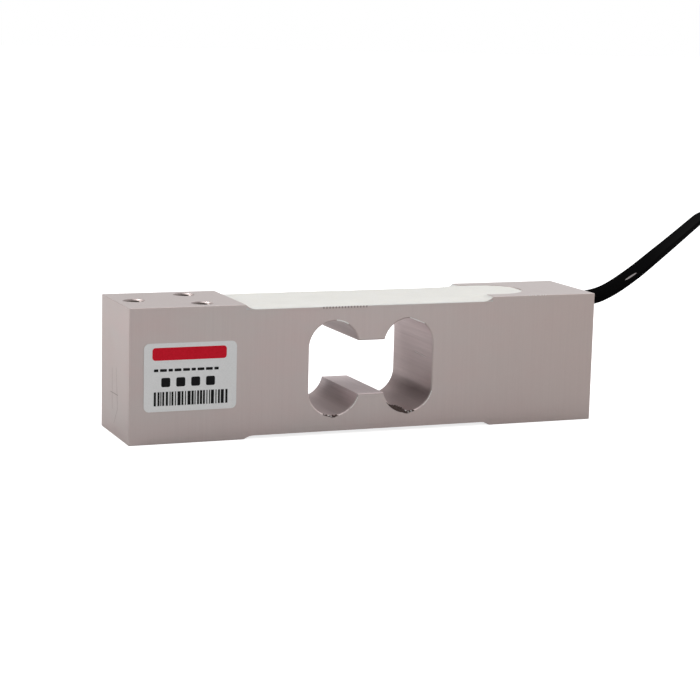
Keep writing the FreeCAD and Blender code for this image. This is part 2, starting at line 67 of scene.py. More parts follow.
def addCamera():
    # Looks along the azimuth and elevation, turned by the roll about its own axis
    azimuth = math.radians(camera["azimuth"])
    elevation = math.radians(camera["elevation"])
    roll = math.radians(camera["roll"])
    back = Vector((math.sin(azimuth) * math.cos(elevation),
                   -math.cos(azimuth) * math.cos(elevation), math.sin(elevation)))
    level = (-back).cross(Vector((0, 0, 1))).normalized()
    upright = level.cross(-back)
    right = math.cos(roll) * level + math.sin(roll) * upright
    up = -math.sin(roll) * level + math.cos(roll) * upright
    turn = Matrix((right, up, back)).transposed().to_4x4()
    data = bpy.data.cameras.new("photoCamera")
    data.lens = camera["lens"]
    data.sensor_width = camera["sensor"]
    data.clip_start = 0.01
    data.clip_end = 20.0
    photoCamera = bpy.data.objects.new("photoCamera", data)
    photoCamera.matrix_world = Matrix.Translation(camera["place"]) @ turn
    bpy.context.scene.collection.objects.link(photoCamera)
    bpy.context.scene.camera = photoCamera
    bpy.context.scene.view_settings.view_transform = "Standard"


addCamera()
print("camera placed")

# The cable's route, as part.py has it: the listed free stretch, then the coil's turns
route = {
    "diameter": 4.9,
    "exit": (75.0, 0.0, 35.8),
    "free": [
        (83.0, 1.2, 36.1), (92.0, 5.3, 37.9), (108.0, 18.2, 41.2), (123.7, 35.6, 42.7),
        (139.8, 56.4, 42.6), (158.8, 81.5, 42.1), (180.4, 109.1, 42.2), (204.3, 138.5, 43.0),
        (224.9, 162.9, 44.2), (248.3, 174.3, 42.6), (275.3, 174.3, 38.0), (299.4, 162.0, 31.0),
        (314.7, 141.0, 23.0), (318.9, 117.4, 15.6), (313.1, 97.2, 9.8), (300.6, 84.3, 6.0),
        (284.3, 79.3, 3.8),
    ],
    "coilCentre": (262.7, 126.8),
    "midRadius": 26.5,
    "entryAngle": -128.0,
    "stub": 19.0,
    "approach": 14.0,
    "turns": 8 + 112 / 360,
    "pointsPerTurn": 16,
    "settled": 0.3,
    "bulge": 1.7,
    "tailSteps": 8,
    "tailClimbSteps": 5,
    "tailOutSteps": 3,
    "tailStraight": 14.0,
    "sleeveRadius": 2.85,
}


def ease(share):
    # Smooth step from zero to one
    share = np.clip(share, 0, 1)
    return share * share * (3 - 2 * share)


def onCircle(angle, radius, height):
    # Points round the coil's axis, one for each angle
    angle = np.radians(angle)
    return np.stack([route["coilCentre"][0] + radius * np.cos(angle),
                     route["coilCentre"][1] + radius * np.sin(angle),
                     height + 0 * angle], axis=-1)


def clockwise(angle):
    # Direction of travel at an angle, for a coil that winds clockwise
    angle = math.radians(angle)
    return np.array([math.sin(angle), -math.cos(angle), 0.0])


def windingPlace(lane):
    # Radius and height of the winding's nine places, from 0 to 8: three inwards, three
    # outwards one layer up, and three inwards again on top, with a bulge at each climb
    step = route["diameter"]
    corners = [0, 2, 3, 5, 6, 8]
    radius = route["midRadius"] + step * np.interp(lane, corners, [1, -1, -1, 1, 1, -1])
    height = step * np.interp(lane, corners, [0.5, 0.5, 1.5, 1.5, 2.5, 2.5])
    innerClimb = np.sin(np.pi * np.clip(lane - 2, 0, 1))
    outerClimb = np.sin(np.pi * np.clip(lane - 5, 0, 1))
    return radius + route["bulge"] * (outerClimb - innerClimb), height


def coilPoints():
    # Every turn keeps its place at the ties and moves on to the next over the rest of the
    # turn, and the tail climbs over the coil and leaves it in a straight line
    perTurn = route["pointsPerTurn"]
    shrink = math.cos(math.pi / perTurn)
    count = round(route["turns"] * perTurn)
    turn = (np.arange(count) + 0.5) / perTurn
    lane = np.floor(turn) + ease((turn % 1 - route["settled"]) / (1 - route["settled"]))
    radius, height = windingPlace(lane)
    turns = onCircle(route["entryAngle"] - 360 * turn, radius / shrink, height)
    step = np.arange(route["tailSteps"]) + 0.5
    inner = route["midRadius"] - route["diameter"]
    top = 2.5 * route["diameter"]
    rest = 3 * route["diameter"] + route["sleeveRadius"]
    outward = ease((step - route["tailOutSteps"]) / (route["tailSteps"] - route["tailOutSteps"]))
    upward = ease(step / route["tailClimbSteps"])
    angle = route["entryAngle"] - 360 * (turn[-1] + (step + 0.5) / perTurn)
    tail = onCircle(angle, (inner + route["diameter"] * outward) / shrink,
                    top + (rest - top) * upward)
    last = angle[-1] - 180 / perTurn
    touch = onCircle(np.array([last]), route["midRadius"], rest)[0]
    end = touch + clockwise(last) * route["tailStraight"]
    return np.concatenate([turns, tail, [end]])


def routePoints():
    # The free stretch, a straight approach and the coil
    outer = route["midRadius"] + route["diameter"]
    touch = onCircle(np.array([route["entryAngle"]]), outer, route["diameter"] / 2)[0]
    heading = clockwise(route["entryAngle"])
    entry = touch - heading * route["stub"]
    approach = entry - heading * route["approach"]
    start = np.array([route["exit"]] + route["free"])
    return np.concatenate([start, [approach, entry], coilPoints()]) * mm


def addCable():
    # Round cord swept along a smooth curve through the route
    points = routePoints()
    curve = bpy.data.curves.new("cable", "CURVE")
    curve.dimensions = "3D"
    spline = curve.splines.new("NURBS")
    spline.points.add(len(points) - 1)
    weights = np.ones((len(points), 1))
    spline.points.foreach_set("co", np.concatenate([points, weights], axis=1).ravel())
    spline.points.foreach_set("radius", np.full(len(points), route["diameter"] / 2 * mm))
    spline.order_u = 3
    spline.use_endpoint_u = True
    curve.resolution_u = 6
    curve.bevel_depth = 1.0
    curve.bevel_resolution = 8
    curve.use_fill_caps = True
    piece = bpy.data.objects.new("cable", curve)
    bpy.context.scene.collection.objects.link(piece)
    return piece


cable = addCable()
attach(cable, "root")
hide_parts("cable_run", "cable_coil")
print("cable laid")


# Floor, background and light: a lobe is an axis, its power and its strength
studio = {
    "floorReach": 6.0,
    "floorColor": (0.5, 0.5, 0.5),
    "floorGlow": 0.8,
    "lobes": (("Z", 1, 0.42), ("Z", 4, 1.62), ("X", 2, 3.0)),
    "sideLamp": {"place": (-1.0, 0.2, 0.35), "size": 0.5, "power": 4.9},
    "highLamp": {"place": (-0.53, 0.28, 1.02), "size": 0.4, "power": 2.4},
}


def addFloor():
    # Pale floor that looks white to the camera
    reach = studio["floorReach"]
    mesh = bpy.data.meshes.new("floor")
    mesh.from_pydata([(-reach, -reach, 0), (reach, -reach, 0), (reach, reach, 0),
                      (-reach, reach, 0)], [], [(0, 1, 2, 3)])
    floor = bpy.data.objects.new("floor", mesh)
    bpy.context.scene.collection.objects.link(floor)
    made = bpy.data.materials.new("paleFloor")
    made.use_nodes = True
    shader = made.node_tree.nodes["Principled BSDF"]
    shader.inputs["Base Color"].default_value = (*studio["floorColor"], 1)
    shader.inputs["Roughness"].default_value = 0.9
    shader.inputs["Specular IOR Level"].default_value = 0.0
    shader.inputs["Emission Color"].default_value = (1, 1, 1, 1)
    rays = made.node_tree.nodes.new("ShaderNodeLightPath")
    glow = made.node_tree.nodes.new("ShaderNodeMath")
    glow.operation = "MULTIPLY"
    glow.inputs[1].default_value = studio["floorGlow"]
    made.node_tree.links.new(rays.outputs["Is Camera Ray"], glow.inputs[0])
    made.node_tree.links.new(glow.outputs[0], shader.inputs["Emission Strength"])
    mesh.materials.append(made)


def addSky():
    # White behind the object; for all else, soft light that grows towards the top and one side
    world = bpy.data.worlds.new("studio")
    bpy.context.scene.world = world
    world.use_nodes = True
    tree = world.node_tree
    tree.nodes.clear()
    place = tree.nodes.new("ShaderNodeTexCoord")
    split = tree.nodes.new("ShaderNodeSeparateXYZ")
    tree.links.new(place.outputs["Generated"], split.inputs[0])
    soft = tree.nodes.new("ShaderNodeBackground")
    total = None
    for axis, power, strength in studio["lobes"]:
        above = tree.nodes.new("ShaderNodeMath")
        above.operation = "MAXIMUM"
        above.inputs[1].default_value = 0.0
        raised = tree.nodes.new("ShaderNodeMath")
        raised.operation = "POWER"
        raised.inputs[1].default_value = power
        added = tree.nodes.new("ShaderNodeMath")
        added.operation = "MULTIPLY_ADD"
        added.inputs[1].default_value = strength
        added.inputs[2].default_value = 0.0
        tree.links.new(split.outputs[axis], above.inputs[0])
        tree.links.new(above.outputs[0], raised.inputs[0])
        tree.links.new(raised.outputs[0], added.inputs[0])
        if total is not None:
            tree.links.new(total, added.inputs[2])
        total = added.outputs[0]
    tree.links.new(total, soft.inputs["Strength"])
    rays = tree.nodes.new("ShaderNodeLightPath")
    white = tree.nodes.new("ShaderNodeBackground")
    white.inputs["Color"].default_value = (1, 1, 1, 1)
    mix = tree.nodes.new("ShaderNodeMixShader")
    out = tree.nodes.new("ShaderNodeOutputWorld")
    tree.links.new(rays.outputs["Is Camera Ray"], mix.inputs[0])
    tree.links.new(soft.outputs[0], mix.inputs[1])
    tree.links.new(white.outputs[0], mix.inputs[2])
    tree.links.new(mix.outputs[0], out.inputs[0])


def addLamp(name):
    # Disc lamp that faces the bar
    lamp = studio[name]
    data = bpy.data.lights.new(name, "AREA")
    data.shape = "DISK"
    data.size = lamp["size"]
    data.energy = lamp["power"]
    light = bpy.data.objects.new(name, data)
    light.location = lamp["place"]
    aim = -Vector(lamp["place"])
    light.rotation_euler = aim.to_track_quat("-Z", "Y").to_euler()
    bpy.context.scene.collection.objects.link(light)


addFloor()
addSky()
addLamp("sideLamp")
addLamp("highLamp")
print("studio set")


# Materials, with patterns in millimetres on Object coordinates
def newMaterial(name, color, roughness, metallic=0.0, specular=0.5):
    # Principled material with constant values, to be varied by what is linked to it later
    made = bpy.data.materials.new(name)
    made.use_nodes = True
    shader = made.node_tree.nodes["Principled BSDF"]
    shader.inputs["Base Color"].default_value = (*color, 1)
    shader.inputs["Roughness"].default_value = roughness
    shader.inputs["Metallic"].default_value = metallic
    shader.inputs["Specular IOR Level"].default_value = specular
    return made


def pattern(made, size, detail=2.0, rough=0.5):
    # Noise whose features are about size millimetres along each axis
    nodeTree = made.node_tree
    place = nodeTree.nodes.new("ShaderNodeTexCoord")
    scaled = nodeTree.nodes.new("ShaderNodeMapping")
    scaled.inputs["Scale"].default_value = [1 / (mm * side) for side in size]
    noise = nodeTree.nodes.new("ShaderNodeTexNoise")
    noise.inputs["Scale"].default_value = 1.0
    noise.inputs["Detail"].default_value = detail
    noise.inputs["Roughness"].default_value = rough
    nodeTree.links.new(place.outputs["Object"], scaled.inputs["Vector"])
    nodeTree.links.new(scaled.outputs["Vector"], noise.inputs["Vector"])
    return noise.outputs["Fac"]


def spread(made, source, low, high, start=0.3, stop=0.7):
    # Straight ramp from low to high as the source goes from start to stop
    ranged = made.node_tree.nodes.new("ShaderNodeMapRange")
    ranged.inputs["From Min"].default_value = start
    ranged.inputs["From Max"].default_value = stop
    ranged.inputs["To Min"].default_value = low
    ranged.inputs["To Max"].default_value = high
    made.node_tree.links.new(source, ranged.inputs["Value"])
    return ranged.outputs["Result"]


def placeAlong(made, axis):
    # Place along one axis, in metres
    place = made.node_tree.nodes.new("ShaderNodeTexCoord")
    split = made.node_tree.nodes.new("ShaderNodeSeparateXYZ")
    made.node_tree.links.new(place.outputs["Object"], split.inputs[0])
    return split.outputs[axis]


def along(made, axis, start, stop, low=0.0, high=1.0):
    # From low to high as the place along an axis goes from start to stop
    return spread(made, placeAlong(made, axis), low, high, start * mm, stop * mm)


def distanceTo(made, point):
    # Distance of the place from a point, both in metres
    place = made.node_tree.nodes.new("ShaderNodeTexCoord")
    apart = made.node_tree.nodes.new("ShaderNodeVectorMath")
    apart.operation = "DISTANCE"
    apart.inputs[1].default_value = point
    made.node_tree.links.new(place.outputs["Object"], apart.inputs[0])
    return apart.outputs["Value"]


def product(made, first, second):
    # One number times another
    times = made.node_tree.nodes.new("ShaderNodeMath")
    times.operation = "MULTIPLY"
    made.node_tree.links.new(first, times.inputs[0])
    made.node_tree.links.new(second, times.inputs[1])
    return times.outputs[0]


def mixColor(made, share, first, second):
    # The first colour at share zero and the second at one; each is a tuple or a socket
    mix = made.node_tree.nodes.new("ShaderNodeMix")
    mix.data_type = "RGBA"
    made.node_tree.links.new(share, mix.inputs["Factor"])
    for socket, color in ((mix.inputs[6], first), (mix.inputs[7], second)):
        if isinstance(color, tuple):
            socket.default_value = (*color, 1)
        else:
            made.node_tree.links.new(color, socket)
    return mix.outputs[2]


def shine(made, socket, source):
    # Feeds a source into one of the shader's sockets
    shader = made.node_tree.nodes["Principled BSDF"]
    made.node_tree.links.new(source, shader.inputs[socket])


def addBump(made, height, strength, depth, under=None):
    # Surface relief of a depth in millimetres, on top of the relief under it
    bump = made.node_tree.nodes.new("ShaderNodeBump")
    bump.inputs["Strength"].default_value = strength
    bump.inputs["Distance"].default_value = depth * mm
    made.node_tree.links.new(height, bump.inputs["Height"])
    if under is not None:
        made.node_tree.links.new(under, bump.inputs["Normal"])
    return bump.outputs["Normal"]


# The bar's tones, painted light and shade among them, and the sizes and places of its patterns
# in millimetres
alloy = {
    "pale": (0.670, 0.598, 0.577),
    "rosy": (0.692, 0.574, 0.556),
    "cloudSize": (16, 30, 9),
    "cablewardTone": (0.615, 0.505, 0.472),
    "cablewardShare": 0.8,
    # Painted shade towards the foot, darkest on the free end's face
    "lowShade": (0.49, 0.415, 0.405),
    "lowRamp": (2, 36, 0.3, 0),
    "endShade": (0.30, 0.255, 0.25),
    # Painted shade that dims the highlight on the channel rim's chamfer
    "rimShade": (0.42, 0.35, 0.345),
    "rimBox": {"X": (-4.0, 4.0), "Z": (11.55, 12.5)},
    "insideBox": {"X": (-24, 24), "Y": (-14.5, 14.5)},
    # Painted shade and light on the cut-out's walls: shade at the foot and on one arch, light at
    # the head and on the channel floor
    "boreFootShade": ((0.675, 0.565, 0.56), (0.54, 0.435, 0.43)),
    "boreHeadLight": ((0.62, 0.52, 0.51), (0.85, 0.71, 0.71)),
    "boreAcross": (-8, 8),
    "boreRise": (17.5, 31),
    "archShade": (0.22, 0.18, 0.18),
    "archShare": 0.35,
    "archBox": {"X": (-5, -4), "Z": (30, 40)},
    "channelFloorLight": (0.92, 0.81, 0.82),
    "channelBox": {"X": (-4.5, 4.5), "Z": (5, 15)},
    # Painted shade at the load holes' mouths
    "holeShade": (0.16, 0.13, 0.125),
    "holeBox": {"X": (-73.2, -43.0), "Y": (-13, 13), "Z": (39.6, 40.2)},
    "grain": (0.45, 0.38, 0.37),
    "grainSize": (0.45, 26, 26),
    "grainShare": 0.06,
    "toolMarks": (0.40, 0.32, 0.32),
    "toolMarkSize": (9, 40, 0.8),
    "toolMarkShare": 0.35,
    "specks": (0.68, 0.60, 0.58),
    "speckSize": (1.1, 3.5, 1.1),
    "speckShare": 0.10,
    "pads": (0.495, 0.441, 0.431),
    "padMetal": 0.15,
    "sideMetal": 0.75,
    "roughness": (0.38, 0.46),
}


def patch(made, soft, box):
    # One inside a box of places and zero outside, with soft edges that wide
    share = None
    for axis, (low, high) in box.items():
        rise = along(made, axis, low - soft, low)
        fall = along(made, axis, high, high + soft, 1, 0)
        both = product(made, rise, fall)
        share = both if share is None else product(made, share, both)
    return share


def holeSide(made):
    # One on each load hole's side towards the free end and zero on its other side: a sine
    # along the bar whose wavelength is the gap between the lone hole and the pair
    wavelength = holes["lone"] - holes["pair"]
    phase = made.node_tree.nodes.new("ShaderNodeMath")
    phase.operation = "MULTIPLY_ADD"
    phase.inputs[1].default_value = 2 * math.pi / (wavelength * mm)
    phase.inputs[2].default_value = 2 * math.pi * holes["lone"] / wavelength
    made.node_tree.links.new(placeAlong(made, "X"), phase.inputs[0])
    wave = made.node_tree.nodes.new("ShaderNodeMath")
    wave.operation = "SINE"
    made.node_tree.links.new(phase.outputs[0], wave.inputs[0])
    return spread(made, wave.outputs[0], 1, 0, 0.1, 0.6)


def outerTone(made):
    # The bar's outer faces: cloudy, redder towards the cable end, with painted shade towards the
    # foot that is darkest on the free end, and painted shade on the channel rim's chamfer
    clouds = pattern(made, alloy["cloudSize"], detail=3)
    tone = mixColor(made, spread(made, clouds, 0, 1), alloy["pale"], alloy["rosy"])
    # Darker, redder tone towards the cable end
    cableward = along(made, "X", 0, bar["right"], 0, alloy["cablewardShare"])
    tone = mixColor(made, cableward, tone, alloy["cablewardTone"])
    # Painted shade towards the foot, darker still on the free end's face
    pastEnd = along(made, "X", bar["left"] + 0.05, bar["left"] + 0.2)
    shade = mixColor(made, pastEnd, alloy["endShade"], alloy["lowShade"])
    tone = mixColor(made, along(made, "Z", *alloy["lowRamp"]), tone, shade)
    # Painted shade over the channel rim's chamfer
    return mixColor(made, patch(made, 0.1, alloy["rimBox"]), tone, alloy["rimShade"])


def boreTone(made):
    # The cut-out's walls, with painted shade at the foot and on one arch, and painted light
    # towards the head and on the channel floor
    across = alloy["boreAcross"]
    foot = mixColor(made, along(made, "X", *across), *alloy["boreFootShade"])
    head = mixColor(made, along(made, "X", *across), *alloy["boreHeadLight"])
    tone = mixColor(made, along(made, "Z", *alloy["boreRise"]), foot, head)
    arch = spread(made, patch(made, 2.5, alloy["archBox"]), 0, alloy["archShare"], 0, 1)
    tone = mixColor(made, arch, tone, alloy["archShade"])
    # Painted light on the channel floor
    return mixColor(made, patch(made, 2, alloy["channelBox"]), tone, alloy["channelFloorLight"])


def milledAluminium():
    # Brushed faces, paler satin pads and tool marks in the cut-out, over painted light and shade
    # on the outer faces, the cut-out's walls and the load holes' mouths
    made = newMaterial("milledAluminium", alloy["pale"], alloy["roughness"][0])
    grain = pattern(made, alloy["grainSize"], detail=3, rough=0.6)
    specks = pattern(made, alloy["speckSize"], detail=4, rough=0.65)
    inside = patch(made, 0.4, alloy["insideBox"])
    marks = product(made, pattern(made, alloy["toolMarkSize"], detail=4, rough=0.65), inside)
    pads = along(made, "Z", bar["top"] - 0.1, bar["top"] - 0.02)
    # Painted shade on each load hole's mouth, on its free-end side
    shaded = product(made, patch(made, 0.1, alloy["holeBox"]), holeSide(made))
    tone = mixColor(made, inside, outerTone(made), boreTone(made))
    tone = mixColor(made, shaded, tone, alloy["holeShade"])
    tone = mixColor(made, spread(made, grain, 0, alloy["grainShare"]), tone, alloy["grain"])
    worked = spread(made, marks, 0, alloy["toolMarkShare"])
    tone = mixColor(made, worked, tone, alloy["toolMarks"])
    tone = mixColor(made, spread(made, specks, 0, alloy["speckShare"]), tone, alloy["specks"])
    shine(made, "Base Color", mixColor(made, pads, tone, alloy["pads"]))
    shine(made, "Metallic", spread(made, pads, alloy["sideMetal"], alloy["padMetal"], 0, 1))
    shine(made, "Roughness", spread(made, grain, *alloy["roughness"]))
    relief = addBump(made, grain, 0.08, 0.02)
    relief = addBump(made, marks, 0.10, 0.03, under=relief)
    shine(made, "Normal", addBump(made, specks, 0.08, 0.03, under=relief))
    return made


# Cast silicone: two tones of slow waves, under a fine skin
cast = {
    "pale": (0.71, 0.70, 0.665),
    "deep": (0.685, 0.675, 0.64),
    "waveSize": (9, 7, 9),
    "skinSize": (0.5, 0.5, 0.5),
    "roughness": (0.34, 0.52),
    "scatter": 0.5,
    "scatterColor": (1, 0.95, 0.85),
    "scatterDepth": 1.2,
}


def whiteSealant():
    # Soft white that lets a little light in
    made = newMaterial("whiteSealant", cast["pale"], cast["roughness"][0])
    shader = made.node_tree.nodes["Principled BSDF"]
    shader.inputs["Subsurface Weight"].default_value = cast["scatter"]
    shader.inputs["Subsurface Radius"].default_value = cast["scatterColor"]
    shader.inputs["Subsurface Scale"].default_value = cast["scatterDepth"] * mm
    waves = pattern(made, cast["waveSize"])
    skin = pattern(made, cast["skinSize"], detail=4)
    tone = mixColor(made, spread(made, waves, 0, 1), cast["pale"], cast["deep"])
    shine(made, "Base Color", tone)
    shine(made, "Roughness", spread(made, skin, *cast["roughness"]))
    relief = addBump(made, waves, 0.15, 0.6)
    shine(made, "Normal", addBump(made, skin, 0.12, 0.04, under=relief))
    return made


# The cable's jacket, with a painted glint: a pale long ellipse between two points on its surface
jacketLook = {
    "dark": (0.002, 0.002, 0.002),
    "light": (0.004, 0.004, 0.0042),
    "grainSize": (0.35, 0.35, 0.35),
    "sheen": (120, 200, 0.002, 0.014),
    "glintStart": (99.3, 8.5, 40.42),
    "glintStop": (107.3, 15.2, 41.73),
    "glintSlack": 0.024,
    "glintColor": (0.34, 0.31, 0.31),
}


def glintShare(made):
    # One where the distances from both ends add up to little more than their gap
    start = np.array(jacketLook["glintStart"]) * mm
    stop = np.array(jacketLook["glintStop"]) * mm
    total = made.node_tree.nodes.new("ShaderNodeMath")
    total.operation = "ADD"
    made.node_tree.links.new(distanceTo(made, start), total.inputs[0])
    made.node_tree.links.new(distanceTo(made, stop), total.inputs[1])
    gap = float(np.linalg.norm(stop - start))
    return spread(made, total.outputs[0], 1, 0, gap, gap + jacketLook["glintSlack"] * mm)


def blackJacket():
    # Near-black plastic whose sheen grows away from the bar
    made = newMaterial("blackJacket", jacketLook["dark"], 0.3, specular=0.0)
    made.node_tree.nodes["Principled BSDF"].inputs["Coat Roughness"].default_value = 0.12
    shine(made, "Coat Weight", along(made, "X", *jacketLook["sheen"]))
    drawn = pattern(made, jacketLook["grainSize"], detail=3)
    black = mixColor(made, spread(made, drawn, 0, 1), jacketLook["dark"], jacketLook["light"])
    # Painted glint: the pale ellipse on the jacket near the bar
    shine(made, "Base Color", mixColor(made, glintShare(made), black, jacketLook["glintColor"]))
    shine(made, "Roughness", spread(made, drawn, 0.24, 0.36))
    shine(made, "Normal", addBump(made, drawn, 0.1, 0.03))
    return made


labelStock = {"dark": (0.79, 0.79, 0.79), "light": (0.85, 0.85, 0.85), "speckle": 0.25}


def silverFilm():
    # Pale grey with a faint metallic speckle
    made = newMaterial("silverFilm", labelStock["dark"], 0.38, metallic=0.25)
    speckle = spread(made, pattern(made, [labelStock["speckle"]] * 3), 0, 1)
    shine(made, "Base Color", mixColor(made, speckle, labelStock["dark"], labelStock["light"]))
    shine(made, "Roughness", spread(made, speckle, 0.34, 0.42, 0, 1))
    return made


def mottled(name, dark, light, roughness, size, metallic=0.0, specular=0.5, depth=0.02):
    # Plain material whose colour, gloss and surface all vary a little at one size
    made = newMaterial(name, light, roughness, metallic, specular)
    cloud = pattern(made, (size, size, size), detail=3)
    shine(made, "Base Color", mixColor(made, spread(made, cloud, 0, 1), dark, light))
    shine(made, "Roughness", spread(made, cloud, roughness - 0.05, roughness + 0.05))
    shine(made, "Normal", addBump(made, cloud, 0.15, depth))
    return made


bareLength = 6.0 * mm


def bareTip(made, lead):
    # Tinned strands over a lead's last stretch, at its point farthest from the sleeve
    points = np.array([vertex.co for vertex in nodes[lead].data.vertices])
    sleeve = np.mean(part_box("end_sleeve"), axis=0)
    tip = points[np.argmax(np.linalg.norm(points - sleeve, axis=1))]
    share = spread(made, distanceTo(made, tip), 1, 0, bareLength, bareLength + 0.2 * mm)
    shader = made.node_tree.nodes["Principled BSDF"]
    under = shader.inputs["Base Color"].links[0].from_socket
    shine(made, "Base Color", mixColor(made, share, under, (0.68, 0.67, 0.64)))
    shine(made, "Metallic", share)


aluminium = milledAluminium()
sealant = whiteSealant()
jacket = blackJacket()
film = silverFilm()
# Painted shade: the threads' metal is darker than the bar's
shadedThreadMetal = mottled("shadedThreadMetal", (0.22, 0.19, 0.18), (0.32, 0.28, 0.27), 0.32, 0.4, 0.9)
copper = mottled("enamelledWire", (0.50, 0.22, 0.08), (0.62, 0.30, 0.12), 0.3, 0.4, 1.0)
tinned = mottled("tinnedWire", (0.62, 0.61, 0.58), (0.74, 0.73, 0.70), 0.3, 0.3, 1.0)
insulation = {
    "red": mottled("redInsulation", (0.50, 0.02, 0.02), (0.58, 0.03, 0.025), 0.35, 0.6),
    "black": mottled("blackInsulation", (0.010, 0.010, 0.010), (0.016, 0.016, 0.016), 0.35, 0.6),
    "green": mottled("greenInsulation", (0.015, 0.22, 0.05), (0.02, 0.27, 0.065), 0.35, 0.6),
    "white": mottled("whiteInsulation", (0.72, 0.72, 0.69), (0.80, 0.80, 0.77), 0.35, 0.6),
    "drain": tinned,
}
for tint in ("red", "black", "green", "white"):
    bareTip(insulation[tint], "lead_" + tint)
tiePlastic = mottled("tiePlastic", (0.010, 0.010, 0.011), (0.018, 0.018, 0.019), 0.4, 0.8,
                     specular=0.1)
sleevePlastic = mottled("sleevePlastic", (0.008, 0.008, 0.008), (0.014, 0.014, 0.014), 0.5, 0.5,
                        specular=0.1)
finish = {
    "spring_element": aluminium,
    "terminal_board": mottled("board", (0.03, 0.20, 0.07), (0.05, 0.28, 0.10), 0.35, 3.0),
    "trim_resistors": mottled("resistor", (0.02, 0.02, 0.022), (0.04, 0.04, 0.045), 0.5, 0.5),
    "gauge_wires_top": copper,
    "gauge_wires_bottom": copper,
    "solder_joints": mottled("solder", (0.62, 0.62, 0.60), (0.76, 0.76, 0.74), 0.28, 0.5, 1.0),
    "cable_tail": jacket,
    "cable_anchor": mottled("anchorRing", (0.50, 0.40, 0.20), (0.62, 0.52, 0.30), 0.3, 0.8, 1.0),
    "top_sealant": sealant,
    "bottom_sealant": sealant,
    "label": film,
    "coil_tie_1": tiePlastic,
    "coil_tie_2": tiePlastic,
    "end_sleeve": sleevePlastic,
}
gaugeFilm = mottled("gaugeFilm", (0.50, 0.28, 0.07), (0.60, 0.36, 0.10), 0.45, 1.0)
gaugeFoil = mottled("gaugeFoil", (0.60, 0.50, 0.34), (0.74, 0.62, 0.44), 0.35, 0.6, 1.0)
for name, node in nodes.items():
    if name.startswith("gauge_carrier"):
        finish[name] = gaugeFilm
    if name.startswith("gauge_grid"):
        finish[name] = gaugeFoil
    if name.startswith("conductor_") or name.startswith("lead_"):
        finish[name] = insulation[name.split("_")[1]]
    for part in node.material_slots:
        part.material = finish.get(name, jacket)
cable.data.materials.append(jacket)
print("materials set")


# Surfaces
def gridFaces(rows, columns, wrapRows=False, wrapColumns=False):
    # Quads of a grid whose place (row, column) is point row * columns + column; a wrapped
    # way closes on itself
    row, column = np.meshgrid(np.arange(rows if wrapRows else rows - 1),
                              np.arange(columns if wrapColumns else columns - 1), indexing="ij")
    nextRow = (row + 1) % rows
    nextColumn = (column + 1) % columns
    quads = np.stack([row * columns + column, nextRow * columns + column,
                      nextRow * columns + nextColumn, row * columns + nextColumn], axis=-1)
    return quads.reshape(-1, 4)


def facingOut(points, quads):
    # Turns a closed surface right side out, by the sign of its volume
    corner = points[quads]
    volume = np.einsum("ij,ij->i", corner[:, 0], np.cross(corner[:, 1], corner[:, 2])).sum()
    volume += np.einsum("ij,ij->i", corner[:, 0], np.cross(corner[:, 2], corner[:, 3])).sum()
    return quads if volume > 0 else quads[:, ::-1]


def addPiece(name, shells, made, smooth=True):
    # shells are pairs of points in millimetres and quads, each a closed surface
    points = []
    quads = []
    start = 0
    for shellPoints, shellQuads in shells:
        points.append(shellPoints)
        quads.append(facingOut(shellPoints, shellQuads) + start)
        start += len(shellPoints)
    points = np.concatenate(points) * mm
    quads = np.concatenate(quads)
    mesh = bpy.data.meshes.new(name)
    mesh.vertices.add(len(points))
    mesh.vertices.foreach_set("co", points.astype(np.float32).ravel())
    mesh.loops.add(quads.size)
    mesh.loops.foreach_set("vertex_index", quads.astype(np.int32).ravel())
    mesh.polygons.add(len(quads))
    mesh.polygons.foreach_set("loop_start", np.arange(0, quads.size, 4, dtype=np.int32))
    mesh.polygons.foreach_set("use_smooth", np.full(len(quads), smooth))
    mesh.update(calc_edges=True)
    mesh.materials.append(made)
    piece = bpy.data.objects.new(name, mesh)
    bpy.context.scene.collection.objects.link(piece)
    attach(piece, "root")
    return piece


# Thread ridges in the tapped holes, in a metal darker than the bar's that paints the holes'
# shade
thread = {
    "wall": 2.995,
    "root": 2.96,
    "height": 0.46,
    "flank": 2.5,
    "pitch": 1.0,
    "start": 0.4,
    "stop": 14.9,
    "fade": 0.7,
    "step": 0.1,
    "around": 40,
}


def threadShell(x, y, face, inward):
    # Ring of radius root - height * ridge * fade, closed by the hole's wall; the ridge is
    # clip(flank * (0.5 - |phase - 0.5|)), with phase = depth / pitch - turn / (2 pi)
    depth = np.arange(thread["start"], thread["stop"], thread["step"])
    angle = np.arange(thread["around"]) * 2 * np.pi / thread["around"]
    turn, level = np.meshgrid(angle, depth, indexing="ij")
    phase = (level / thread["pitch"] - inward * turn / (2 * np.pi)) % 1
    ridge = np.clip(thread["flank"] * (0.5 - np.abs(phase - 0.5)), 0, 1)
    fade = ease((level - thread["start"]) / thread["fade"])
    fade = fade * ease((thread["stop"] - level) / thread["fade"])
    radius = thread["root"] - thread["height"] * ridge * fade
    ends = np.tile([thread["stop"], thread["start"]], (thread["around"], 1))
    level = np.concatenate([level, ends], axis=1)
    radius = np.concatenate([radius, np.full_like(ends, thread["wall"])], axis=1)
    turn = np.repeat(angle[:, None], level.shape[1], axis=1)
    points = np.stack([x + radius * np.cos(turn), y + radius * np.sin(turn),
                       face + inward * level], axis=-1).reshape(-1, 3)
    return points, gridFaces(*level.shape, wrapRows=True, wrapColumns=True)


holePlaces = [(holes["lone"], 0.0), (holes["pair"], -holes["apart"] / 2),
              (holes["pair"], holes["apart"] / 2)]
loadThreads = [threadShell(-x, y, bar["top"], -1) for x, y in holePlaces]
baseThreads = [threadShell(x, y, bar["foot"], 1) for x, y in holePlaces]
addPiece("loadThreads", loadThreads, shadedThreadMetal)
addPiece("baseThreads", baseThreads, shadedThreadMetal)
print("threads cut")


